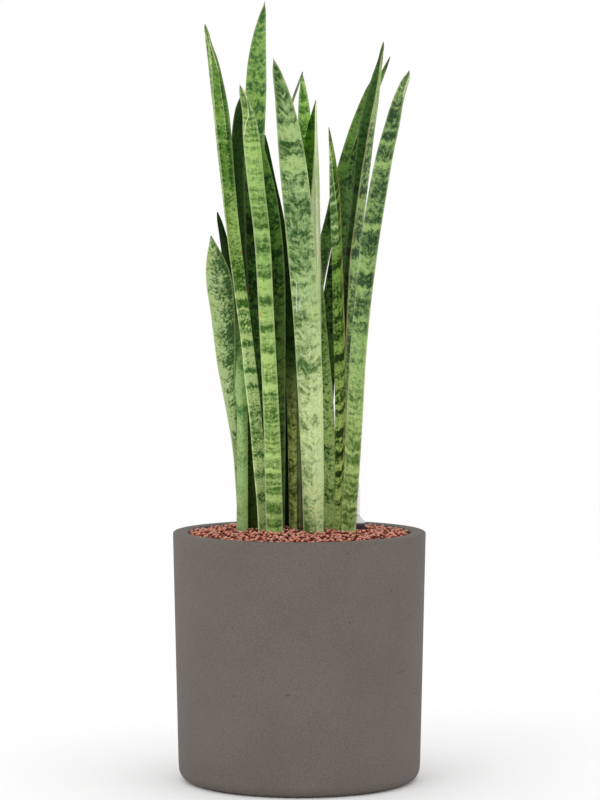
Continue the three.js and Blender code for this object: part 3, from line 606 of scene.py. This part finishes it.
leaf("leaf_right_slim", (142, 182, 84), (34, 64, 12), (204, 228, 134), (34, 60, 12),
    nudge=((299, 0.5, -0.5), (320, 0.1, -0.1), (356, 0.6, 0.8), (391, 0.25, 1.15), (415, -0.1, 1.2), (439, 0.75, 1.3),
    (463, 1.6, 1.3), (486, 1.5, 2.1), (522, 1.2, 1.2), (557, 0.8, 0.9), (604, 1.3, 0.35), (652, 1.35, 0.2),
    (699, 1.1, 0.5), (730, 0.3, 0.1), (750, 0)),
    inner_light=(196, 222, 158), inner_dark=(84, 124, 68), inner_from=640, inner_edge=(671, 751, 0, -0.5),
    tip=(150, 164, 140), rim=(128, 120, 66), rim_dark=(96, 62, 34), rim_width=0.8, rim_strength=0.75, rust=0.8,
    margin_sheen=0.1, base=0.45, soft=0.34, flecks=1.3, fleck_wide=4, fleck_tall=3, auto=0.5, every=6, zig=2, slant=-0.6,
    lines=((600, 730, 7.4, 0.08), (300, 450, 7, 0.06)),
    marks=((751, -1.7, 712, -3.1, 0.6, (188, 198, 150), 0.6), (712, -3.1, 671, -0.7, 0.6, (188, 198, 150), 0.6)),
    depth=0.5, reach=770,
    bands=((770, 18, 40), (746, 6, -30), (728, 2, 50), (723, 2, 50), (718, 3, 60), (712, 2, 60), (705, 5, 80),
    (698, 3, -40), (694, 4, 100), (688, 5, -50), (681, 6, 100), (673, 4, -30), (667, 4, 70), (660, 4, -40),
    (654, 4, 110), (648, 5, -30), (641, 4, 80), (635, 13, -40), (616, 8, 90), (604, 6, -40), (580, 6, 70),
    (568, 12, -30), (552, 6, 40), (534, 6, 40), (524, 12, -40), (507, 7, 80), (498, 12, -40), (484, 2, 70),
    (480, 10, -40), (466, 3, 60), (455, 4, 80), (449, 4, -40), (442, 5, 100), (434, 12, -40), (418, 7, 110),
    (406, 4, 50), (399, 5, -30), (392, 6, 90), (380, 8, -40), (370, 5, 90), (356, 4, 50), (348, 12, -40),
    (334, 4, 40), (322, 22, -40)))
leaf("leaf_right_rear", (108, 150, 68), (14, 40, 12), (48, 76, 22), (8, 22, 3),
    nudge=((420, 0), (507, -2.6), (552, -4.6), (594, -4), (635, -2.3), (673, 0), (741, -0.6, 0.6), (771, -1, 1.3),
    (798, -1.2, 1.3), (820, -0.8, 0.9), (834, 0)),
    specular=0.1, margin_sheen=0.2, base=0.5, soft=0.5, flecks=1.5, auto=0.8, every=9, reach=835,
    bands=((830, 46, 20), (778, 6, -30), (760, 8, 30), (744, 8, 40), (730, 10, -40)))
leaf("leaf_right_folded", (158, 186, 114), (32, 68, 32), (128, 152, 86), (38, 66, 26),
    nudge=((390, 0), (439, 2), (486, 2.6), (522, 2.8), (557, 2.2), (592, 0.6, 0.5), (610, 0, 0.7), (660, 0, 0.7),
    (700, 0.2, 0.2), (736, 0.8, 0.4, 0.4), (772, 1.2, 0.6, 0.6), (804, 1.8, 0.9, 0.9), (833, 1.2, 0.6, 0.4),
    (857, 1, 0.4, 0.2), (873, 0.9)),
    inner_light=(58, 98, 38), inner_dark=(14, 42, 4), rim=(176, 164, 118), rim_width=0.6, rim_strength=0.6, rust=0.6,
    margin_sheen=0.2, flecks=1.7, auto=0.4, every=10, bow=4, fade=(770, 800, 0, -0.1), depth=0.45, reach=872,
    bands=((866, 20, 60), (843, 5, -50), (834, 34, -10), (798, 18, -40), (778, 3, 50), (766, 5, 50), (758, 3, -30),
    (752, 5, 60), (742, 4, 40), (732, 5, 70), (724, 3, 40), (718, 4, -40), (712, 4, 50), (702, 8, 110),
    (692, 18, -50), (668, 8, 20), (652, 9, 80), (640, 4, 50), (630, 9, 100), (618, 18, -50), (597, 5, 70),
    (588, 16, 30), (560, 20, 50), (530, 30, 40)))
leaf("leaf_right_leaning", (100, 138, 66), (16, 42, 10), (48, 76, 26), (10, 26, 5),
    nudge=((520, 0), (564, 0.5), (608, 1.1), (650, 1.1), (690, 0.3), (728, 0), (800, 0.2, 0.2), (821, 0.5, 0.6),
    (844, 0.6, 0.6), (858, 0.4)),
    open_above=815, specular=0.08, tip=(40, 60, 44), rim_strength=0.15, margin_sheen=0, base=0.5, flecks=2, auto=0.8,
    every=10, reach=862,
    bands=((862, 20, 60), (838, 12, -90), (822, 22, 30)))
leaf("leaf_right_outer", (160, 190, 120), (44, 74, 46), (180, 204, 128), (80, 108, 42),
    widen=0.7,
    nudge=((262, -0.7, -0.8), (320, -0.5, -0.65), (356, 0.2, -1.1), (391, 0.6, -0.9), (439, 0.75, -0.75),
    (486, 0.8, -0.8), (522, 1.05, -1.05), (557, 1.2, -1.2), (592, 0.7, -0.7), (610, 0.2, -0.2), (630, 0), (774, 0),
    (801, -1.9, -0.3), (823, -1.3, 0.2), (837, -0.3)),
    turn_low=380, turn_high=560, rust=0.5, margin_sheen=0.3, soft=0.44, fleck_wide=5.5, auto=0.6, every=6.5, zig=2.5, bow=2,
    chevron=7, centre=0.1, lines=((770, 836, 7.6, 0.1), (300, 440, 8.2, 0.1)),
    marks=((836, 2.4, 806, 5.6, 1.4, (214, 220, 190), 0.7),),
    depth=0.46, reach=838,
    bands=((840, 18, 60), (819, 3, 38), (815, 3, -22), (811, 3, 60), (807, 1, -38), (806, 3, 60), (802, 2, -45),
    (800, 6, 68), (793, 2, -52), (791, 13, 98), (777, 2, -38), (774, 5, 60), (768, 2, -30), (765, 9, 98),
    (755, 3, -45), (750, 17, 90), (732, 6, -68), (725, 8, 38), (716, 9, 45), (707, 19, 68), (686, 6, 38),
    (677, 17, 68), (658, 8, -68), (651, 18, 105), (631, 11, 60), (617, 17, -38), (601, 13, 90), (585, 11, -22),
    (570, 10, 30), (558, 8, 30), (549, 5, -30), (543, 14, 60), (526, 12, -30), (512, 18, 30), (484, 18, -22),
    (460, 10, 30), (446, 18, -30), (414, 7, 30), (404, 9, 52), (392, 6, -38), (386, 11, 75), (372, 6, -22),
    (364, 6, 22), (352, 5, 30), (343, 8, 60), (333, 7, -30), (326, 3, 30), (321, 4, -38), (317, 4, 38), (312, 3, -30),
    (308, 3, 30), (304, 8, -38)))


# ---- planter
PLANTER_HEIGHT = 295
PLANTER_TOP_RADIUS = 149.9
PLANTER_FOOT_RADIUS = 143.4
PLANTER_WALL = 18
PLANTER_FLOOR = 20
RIM_ROUNDING = 2.5
FOOT_ROUNDING = 15
INNER_ROUNDING = 8
# the largest air holes on the front: sideways, height, half width, half height and strength of their painted shade
FRONT_PITS = (
    (-12.9, 120.4, 3.6, 0.9, 0.6), (-136.5, 104.6, 1, 1, 0.5), (-75, 116.8, 1.2, 1, 0.5),
    (-30, 169, 1.2, 0.9, 0.45), (-22, 169.2, 1.4, 0.9, 0.45), (-40.4, 139.8, 1.1, 1, 0.4),
    (118, 139, 6, 0.8, 0.35), (134.9, 109.9, 1.4, 1, 0.5), (-54.3, 23.3, 1.2, 1.2, 0.5),
    (-90.4, 21.9, 1.2, 1, 0.5), (96.7, 33.2, 1.3, 1.1, 0.5))


def planter_look():
    look = Look("cast_concrete", roughness=0.82, specular=0.28)
    rest = look.attribute("rest")
    x, y, z = look.split(rest)
    cloud = look.noise(rest, scale=0.012, detail=4, roughness=0.55)
    patch = look.noise(rest, scale=0.05, detail=3)
    speck = look.noise(rest, scale=0.9, detail=2, roughness=0.6)
    fine = look.noise(rest, scale=2.4, detail=1)
    base = look.mix(look.span(cloud, 0.35, 0.65), (100, 93, 87), (106, 99, 94))
    base = look.cover(base, (97, 90, 85), patch, 0.3, 0.7, 0.3)
    base = look.cover(base, (124, 117, 111), speck, 0.52, 0.68, 0.55)
    base = look.cover(base, (78, 72, 67), speck, 0.48, 0.32, 0.55)
    pits = look.node("ShaderNodeTexVoronoi", {"Vector": rest, "Scale": 0.045}, feature="F1")
    chance = look.math("GREATER_THAN", look.split(pits.outputs["Color"])[0], 0.45)
    pit = look.times(look.span(pits.outputs["Distance"], 0.075, 0.03, smooth=True), chance)
    # painted shade in the small air holes, which the bump below also sinks
    base = look.mix(look.times(pit, 0.55), base, (62, 57, 53))
    facing = look.math("LESS_THAN", y, 0.0)
    # painted shade in the largest air holes on the front
    for pit_x, pit_height, half_width, half_height, strength in FRONT_PITS:
        off_x = look.over(look.minus(x, pit_x), half_width)
        off_z = look.over(look.minus(z, pit_height), half_height)
        reach = look.plus(look.times(off_x, off_x), look.times(off_z, off_z))
        pit_shade = look.times(facing, look.span(reach, 1.6, 0.5, 0.0, strength, smooth=True))
        base = look.mix(pit_shade, base, (70, 65, 61))
    look.colour(base)
    look.roughness(look.span(speck, 0.3, 0.7, 0.74, 0.9))
    relief = look.plus(look.times(fine, 0.5), look.times(speck, 0.8))
    look.bump(look.minus(relief, look.times(pit, 2.0)), 0.25, 0.5)
    return look.material


def planter_profile():
    def outer(height):
        share = height / PLANTER_HEIGHT
        return PLANTER_FOOT_RADIUS + (PLANTER_TOP_RADIUS - PLANTER_FOOT_RADIUS) * share

    def inner(height):
        return outer(height) - PLANTER_WALL

    top, floor_rounding = PLANTER_HEIGHT, PLANTER_FLOOR + INNER_ROUNDING
    return [
        (0, 0), (60, 0),
        *arc(outer(0) - FOOT_ROUNDING, FOOT_ROUNDING, FOOT_ROUNDING, -90, 0, 10),
        *((outer(h), h) for h in np.linspace(25, top - 8, 24)),
        *arc(outer(top) - RIM_ROUNDING, top - RIM_ROUNDING, RIM_ROUNDING, 0, 90, 6),
        *arc(inner(top) + RIM_ROUNDING, top - RIM_ROUNDING, RIM_ROUNDING, 90, 180, 6),
        *((inner(h), h) for h in np.linspace(top - 8, floor_rounding + 2, 10)),
        *arc(inner(PLANTER_FLOOR) - INNER_ROUNDING, floor_rounding, INNER_ROUNDING, 0, -90, 5),
        (60, PLANTER_FLOOR), (0, PLANTER_FLOOR)]


make_piece("planter_look", *lathe(planter_profile(), 160), planter_look(), "planter", "concrete")


# ---- granules
GAUGE_AT = (67.5, 30)
SLEEVE_RADIUS = 11.6
BED_RADIUS = 131.9
BED_REACH = 131
BED_FOOT = 266
BED_DROP = 4.2           # from the granules' level to the shaded bed under the single balls
EDGE_LEVEL = 291.3
MOUND = 5.4
GAUGE_HOLLOW = 3.6       # depth of the hollow beside the gauge, its width and how far in front it lies
HOLLOW_WIDTH = 20
HOLLOW_FORWARD = 14
BALL_PITCH = 4.9
BALL_ROW_PITCH = BALL_PITCH * 0.866
BALL_RADII = (1.6, 2.25)
BALL_REACH = 131.2
BALL_CLEARANCE = 0.75
# two layers of balls: lift above the level, its variation, the share of places filled, scatter in pitches,
# the shift of the layer's grid and the growth of its balls
BALL_LAYERS = ((-2.3, 0.8, 1.0, 0.5, (0, 0), 0), (0.8, 1.4, 0.42, 1.0, (2.1, 1.3), 0.2))
BALL_SHAPES = 12
BALL_LUMPS = 5


def granule_level(x, y):
    """The height of the granules' surface, with a hollow in front of the gauge."""
    share = np.minimum(1, np.hypot(x, y) / BED_RADIUS)
    off = np.hypot(x - GAUGE_AT[0], y - GAUGE_AT[1] + HOLLOW_FORWARD)
    return EDGE_LEVEL + MOUND * (1 - share ** 2) - GAUGE_HOLLOW * np.exp(-(off / HOLLOW_WIDTH) ** 2)


def is_taken(x, y, grow):
    """Whether a place among the granules lies in a leaf's foot or the gauge, grown by some millimetres."""
    for rows in LEAF_ROWS:
        cx, cy, _, angle, half, depth, thick = spline(rows, np.array([0.6]))[0]
        cos, sin = math.cos(angle), math.sin(angle)
        dx, dy = x - cx, y - cy
        s = (dx * cos + dy * sin) / (half + grow)
        offset = dx * sin - dy * cos
        if abs(s) < 1 and abs(offset - depth * (abs(s) ** CHANNEL_POWER - 0.5)) < thick / 2 + grow:
            return True
    return math.hypot(x - GAUGE_AT[0], y - GAUGE_AT[1]) < SLEEVE_RADIUS + grow


def ball_shape(rng):
    """A lumpy ball of radius 1 with 80 faces: its points and faces."""
    ball = bmesh.new()
    bmesh.ops.create_icosphere(ball, subdivisions=2, radius=1)
    points = np.array([v.co[:] for v in ball.verts])
    faces = np.array([[v.index for v in f.verts] for f in ball.faces])
    ball.free()
    for _ in range(BALL_LUMPS):
        direction = rng.normal(size=3)
        direction /= np.linalg.norm(direction)
        points *= 1 + 0.03 * np.clip(points @ direction, -0.4, 1)[:, None] * rng.choice([-1, 1])
    return points / np.abs(points).max(), faces


def ball_places(rng):
    """The middle and radius of each ball."""
    balls = []
    rows = int(BED_RADIUS / BALL_ROW_PITCH) + 1
    for lift, jitter, keep, spread, shift, growth in BALL_LAYERS:
        for j in range(-rows, rows + 1):
            for i in range(-rows - 1, rows + 2):
                x = BALL_PITCH * (i + 0.5 * (j % 2)) + BALL_PITCH * spread * (rng.random() - 0.5) + shift[0]
                y = BALL_ROW_PITCH * j + BALL_PITCH * spread * (rng.random() - 0.5) + shift[1]
                radius = rng.uniform(*BALL_RADII) + growth
                z = granule_level(x, y) + lift + rng.uniform(-jitter, jitter)
                if rng.random() > keep or math.hypot(x, y) > BALL_REACH - radius:
                    continue
                if not is_taken(x, y, radius * BALL_CLEARANCE):
                    balls.append((x, y, z, radius))
    return balls


def granule_look():
    look = Look("fired_clay", roughness=0.88, specular=0.22)
    rest = look.attribute("rest")
    colour = look.ramp(look.attribute("tone", "Fac"), (
        (0.0, (120, 64, 54)), (0.3, (176, 94, 76)), (0.6, (206, 112, 86)), (0.88, (212, 134, 110)),
        (1.0, (200, 160, 152))))
    mottle = look.noise(rest, scale=0.55, detail=3)
    dust = look.noise(rest, scale=1.7, detail=2)
    painted_light_share = look.attribute("open", "Fac")
    colour = look.cover(colour, (128, 74, 64), mottle, 0.4, 0.65, 0.35)
    # painted highlight on the balls' tops, where open is high
    colour = look.cover(colour, (230, 178, 156), painted_light_share, 0.62, 1, 0.65)
    colour = look.cover(colour, (214, 172, 156), dust, 0.58, 0.72, 0.3)
    # painted shade on the balls' undersides and in the gaps, where open is low
    look.colour(look.cover(colour, (34, 18, 17), painted_light_share, 0.58, 0.12, 0.97))
    look.bump(dust, 0.3, 0.7)
    return look.material


def build_granules():
    """The single balls, with the attributes tone (random) and open (how much light reaches a point), which the clay
    turns into painted highlights on the tops and painted shade below.
    """
    rng = np.random.default_rng(21)
    shapes = [ball_shape(rng) for _ in range(BALL_SHAPES)]
    balls = ball_places(rng)
    clay = granule_look()
    for name, members in (("front", [b for b in balls if b[1] < 0]), ("back", [b for b in balls if b[1] >= 0])):
        points, faces, tone, painted_light_share = [], [], [], []
        for x, y, z, radius in members:
            shape, shape_faces = shapes[rng.integers(len(shapes))]
            axes, _ = np.linalg.qr(rng.normal(size=(3, 3)))
            stretch = rng.uniform(0.94, 1.04, 3)
            ball = (shape * stretch) @ axes.T * radius + (x, y, z)
            over = (ball[:, 2] - z) / radius
            lifted = z - granule_level(x, y)
            # open: how much light reaches a point, from its height on the ball and the ball's lift; it drives the
            # painted highlight and shade
            painted_light_share.append(np.clip(0.29 + 0.66 * over + 0.14 * lifted, 0, 1))
            if np.linalg.det(axes) < 0:
                shape_faces = shape_faces[:, ::-1]
            faces.append(shape_faces + len(points) * len(ball))
            points.append(ball)
            tone.append(np.full(len(ball), rng.random()))
        make_piece(f"granules_{name}_look", np.concatenate(points), [np.concatenate(faces)], clay,
                   "granules_top", "clay_granules", tone=np.concatenate(tone), open=np.concatenate(painted_light_share))


def granule_bed():
    """The granules under the top ones, painted dark as their shade: a lumpy sheet with a flat underside."""
    rng = np.random.default_rng(5)
    profile = [(0, BED_FOOT), (BED_REACH, BED_FOOT),
               *((r, BED_FOOT + 10) for r in np.linspace(4, BED_REACH, 38)[::-1]),
               (0, granule_level(0, 0) - BED_DROP)]

    def lumpy(angles, radius, height):
        level = granule_level(radius * np.cos(angles), radius * np.sin(angles)) - BED_DROP
        return radius, np.where(height > BED_FOOT, level + rng.uniform(-0.7, 0.7, height.shape), height)

    look = Look("clay_painted_shade", roughness=0.95, specular=0.1)
    grit = look.noise(look.attribute("rest"), scale=0.35, detail=3)
    # painted shade: near-black clay for the shaded granules under the single balls
    look.colour(look.mix(grit, (26, 14, 12), (52, 30, 26)))
    look.bump(grit, 1.5, 0.6)
    make_piece("granules_bed_look", *lathe(profile, 120, lumpy), look.material, "granules_top", "clay_granules")


build_granules()
granule_bed()


# ---- water gauge
SLEEVE_BORE = 9.4
SLEEVE_FOOT = 74.5
SLEEVE_TOP = 300.3
RIBS = 20
RIB_HEIGHT = 0.22
WINDOW_SHOULDER = 302.8
WINDOW_NECK = 310
WINDOW_TOP = 352
TUBE_RADIUS = 5
TUBE_BORE = 3.6
FLOAT_FOOT = 76.8
FLOAT_TOP = 122.8
FLOAT_RADIUS = 8
STICK_RADIUS = 1.6
STICK_TOP = 313


def gauge_piece(name, profile, segments, material, slot, body="pot", change=None):
    points, faces = lathe(profile, segments, change)
    make_piece(name + "_look", points + (*GAUGE_AT, 0), faces, material, name, slot, body)


def plastic_look(name, colour, deep, roughness, specular):
    look = Look(name, roughness=roughness, specular=specular)
    grit = look.noise(look.attribute("rest"), scale=0.6, detail=3)
    look.colour(look.mix(look.span(grit, 0.35, 0.65), colour, deep))
    look.roughness(look.span(grit, 0.3, 0.7, roughness - 0.06, roughness + 0.08))
    look.bump(grit, 0.08, 0.4)
    return look.material


def window_look():
    """A clear tube on a hazy cone, with walls painted greyer where they are seen edge on, as the dark line that
    refraction gives at a clear wall.
    """
    look = Look("clear_plastic", roughness=0.03, specular=0.5)
    look.shader.inputs["IOR"].default_value = 1.1
    rest = look.attribute("rest")
    level = look.split(rest)[2]
    haze = look.noise(rest, scale=0.2, detail=2)
    edge = look.node("ShaderNodeLayerWeight", {"Blend": 0.5})
    # painted refraction: grey where the wall is seen edge on
    wall = look.cover((255, 253, 255), (140, 134, 138), edge.outputs["Facing"], 0.5, 0.9, 0.8)
    wall = look.cover(wall, (246, 245, 250), haze, 0.3, 0.7, 0.3)
    look.colour(look.cover(wall, (120, 112, 128), level, WINDOW_SHOULDER + 0.3, WINDOW_SHOULDER - 0.3, 0.9))
    clear = look.span(level, WINDOW_NECK - 1, WINDOW_NECK + 1.5, 0.2, 0.85)
    look.put(look.shader.inputs["Transmission Weight"], clear)
    look.roughness(look.span(haze, 0.3, 0.7, 0.02, 0.06))
    return look.material


def ribbed(angles, radius, height):
    bump = RIB_HEIGHT * np.cos(RIBS * angles) * ((height > SLEEVE_FOOT + 4) & (height < SLEEVE_TOP - 2))
    return radius + np.where(radius > SLEEVE_RADIUS - 0.6, bump - RIB_HEIGHT, 0.0), height


outer, bore, foot, top = SLEEVE_RADIUS, SLEEVE_BORE, SLEEVE_FOOT, SLEEVE_TOP
gauge_piece("gauge_sleeve", [
    (0, foot), (outer - 0.4, foot), (outer, foot + 0.6),
    *((outer, h) for h in np.linspace(foot + 3, top - 3, 30)),
    (outer, top - 0.5), (outer - 0.4, top), (bore + 0.3, top),
    (bore, top - 0.4), (bore, foot + 2.3), (bore - 0.3, foot + 2),
    (0, foot + 2)],
    120, plastic_look("gauge_dark", (72, 54, 64), (56, 41, 50), 0.5, 0.15), "gauge_dark", change=ribbed)

shoulder, neck, tube = WINDOW_SHOULDER, WINDOW_NECK, TUBE_RADIUS
crown, seat = WINDOW_TOP - tube, top + 0.3
gauge_piece("gauge_window", [
    (0, crown + TUBE_BORE), *arc(0, crown, TUBE_BORE, 82, 0, 9),
    (TUBE_BORE, neck - 1.4), (bore, shoulder - 0.6), (bore, seat),
    (outer - 0.3, seat), (outer, seat + 0.3), (outer, shoulder - 0.4),
    (outer - 0.3, shoulder + 0.2), (tube + 0.5, neck - 0.5),
    (tube, neck + 0.6),
    *((tube, h) for h in np.linspace(neck + 3, crown - 1, 8)),
    *arc(0, crown, tube, 0, 82, 9), (0, WINDOW_TOP)],
    64, window_look(), "gauge_clear")

low, high, stick, end = FLOAT_FOOT, FLOAT_TOP, STICK_RADIUS, STICK_TOP
round_from = FLOAT_RADIUS - 1
gauge_piece("gauge_float", [
    (0, low), (round_from, low),
    *arc(round_from, low + 1, 1, -80, 0, 4),
    *arc(round_from, high - 1, 1, 0, 80, 4),
    (stick + 0.6, high + 1.2), (stick, high + 3),
    *((stick, h) for h in np.linspace(high + 8, end - 6.4, 12)),
    (stick + 0.7, end - 5.4), (stick + 0.8, end - 5),
    (stick + 0.8, end - 1.2), (stick + 0.5, end - 0.4),
    (stick - 0.4, end), (0, end)],
    40, plastic_look("float_orange", (214, 78, 38), (190, 58, 30), 0.45, 0.45), "float_orange", "float")


# ---- what the planter hides
# plain grained finishes for CAD solids, laid out in metres over their own places
for node_name, look_name, light, dark, scale, relief_mm in (
        ("culture_pot", "pot_plastic", (44, 44, 46), (32, 32, 34), 300, 0.1),
        ("granules_lower", "clay_lower", (150, 92, 72), (92, 54, 46), 180, 1.5),
        ("granules_inner", "clay_inner", (150, 92, 72), (92, 54, 46), 180, 1.5),
        ("rootstock", "root_skin", (196, 160, 104), (150, 112, 66), 120, 0.5)):
    look = Look(look_name, roughness=0.85, specular=0.25)
    grit = look.noise(look.in_metres(), scale=scale, detail=4)
    look.colour(look.mix(look.span(grit, 0.35, 0.65), dark, light))
    look.bump(grit, relief_mm, 0.6)
    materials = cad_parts[node_name].data.materials
    materials.clear()
    materials.append(look.material)


# ---- floor
FLOOR_REACH = 12

corners = [(x * FLOOR_REACH, y * FLOOR_REACH, 0) for x, y in ((-1, -1), (1, -1), (1, 1), (-1, 1))]
mesh = bpy.data.meshes.new("floor")
mesh.from_pydata(corners, [], [(0, 1, 2, 3)])
look = Look("floor", roughness=0.9, specular=0.1)
shade = look.noise(look.in_metres(), scale=3, detail=2)
look.colour(look.mix(shade, (1.0, 1.0, 1.0, 1), (0.985, 0.985, 0.985, 1)))
mesh.materials.append(look.material)
ground = bpy.data.objects.new("floor", mesh)
scene.collection.objects.link(ground)
